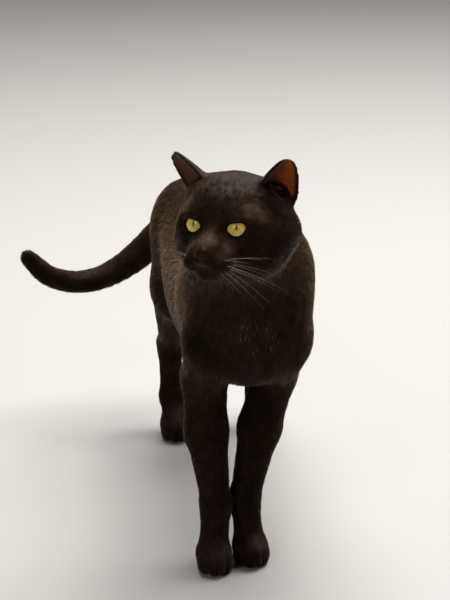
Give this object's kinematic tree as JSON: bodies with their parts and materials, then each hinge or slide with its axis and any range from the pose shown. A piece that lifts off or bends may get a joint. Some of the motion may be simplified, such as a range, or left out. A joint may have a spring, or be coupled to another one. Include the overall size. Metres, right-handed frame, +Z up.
{
  "type": "domestic cat, standing still model",
  "caption": "Life-size still model of a short-haired cat standing on four feet, head turned to its right and tail swept out low to the right.",
  "frame": {"origin": "on the floor, under the middle of the model's box", "axes": "+Z up, the cat faces -Y and its right side is -X"},
  "size_m": [0.24, 0.5138, 0.3512],
  "materials": {
    "coat": "short dense near-black coat with a warm brown cast",
    "ear": "thin short-haired ear, red-brown inside where light comes through",
    "eye": "wet yellow eye with a narrow upright pupil"
  },
  "bodies": {
    "root": {"head": "coat", "neck": "coat", "trunk": "coat", "ear_left": "ear", "ear_right": "ear", "eye_left": "eye", "eye_right": "eye", "foreleg_left": "coat", "foreleg_right": "coat", "forepaw_left": "coat", "forepaw_right": "coat", "thigh_left": "coat", "thigh_right": "coat", "shank_left": "coat", "shank_right": "coat", "hindpaw_left": "coat", "hindpaw_right": "coat", "tail_1": "coat", "tail_2": "coat", "tail_3": "coat", "tail_4": "coat"}
  },
  "joints": []
}
